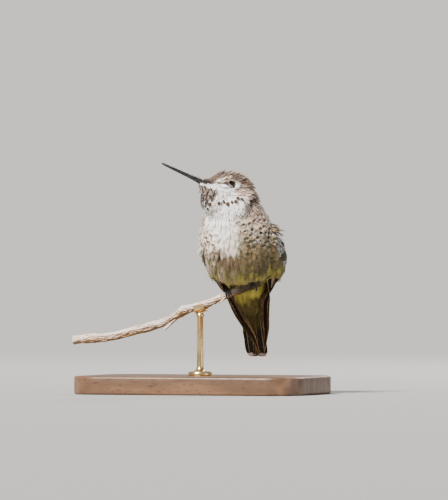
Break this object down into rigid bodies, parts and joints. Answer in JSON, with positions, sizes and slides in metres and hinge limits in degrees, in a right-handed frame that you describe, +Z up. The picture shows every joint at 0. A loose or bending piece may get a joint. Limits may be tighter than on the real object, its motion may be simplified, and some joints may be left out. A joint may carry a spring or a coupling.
{
  "type": "hummingbird display model",
  "caption": "Life-size still model of a fluffed hummingbird perched on a short cut twig, head turned, held by a brass rod over a flat wooden display base.",
  "frame": {"origin": "centre of the stand base's underside, on the floor", "axes": "+Z up; the bird's breast faces -Y, its left side +X; the twig runs along X"},
  "size_m": [0.0993, 0.0612, 0.0881],
  "materials": {
    "plumage": "pale grey breast feathers with dark spots",
    "head_plumage": "small scaled brown and green feathers",
    "wing_coverts": "green-bronze coverts with pale edges",
    "flight_feathers": "dusky flight feathers",
    "bill_horn": "black horn",
    "eye_gloss": "wet black eye",
    "foot_skin": "dark scaled feet",
    "bark": "bleached bark",
    "walnut": "satin stained wood",
    "brass": "satin brass"
  },
  "bodies": {
    "root": {"head": "head_plumage", "neck": "plumage", "trunk": "plumage", "rump": "plumage", "tail": "flight_feathers", "wing_left": "wing_coverts", "wing_right": "wing_coverts", "wing_left_feathers": "flight_feathers", "wing_right_feathers": "flight_feathers", "bill_upper": "bill_horn", "bill_lower": "bill_horn", "eye_left": "eye_gloss", "eye_right": "eye_gloss", "leg_left": "plumage", "leg_right": "plumage", "foot_left": "foot_skin", "foot_right": "foot_skin", "perch_twig": "bark", "stand_base": "walnut", "stand_rod": "brass"}
  },
  "joints": []
}
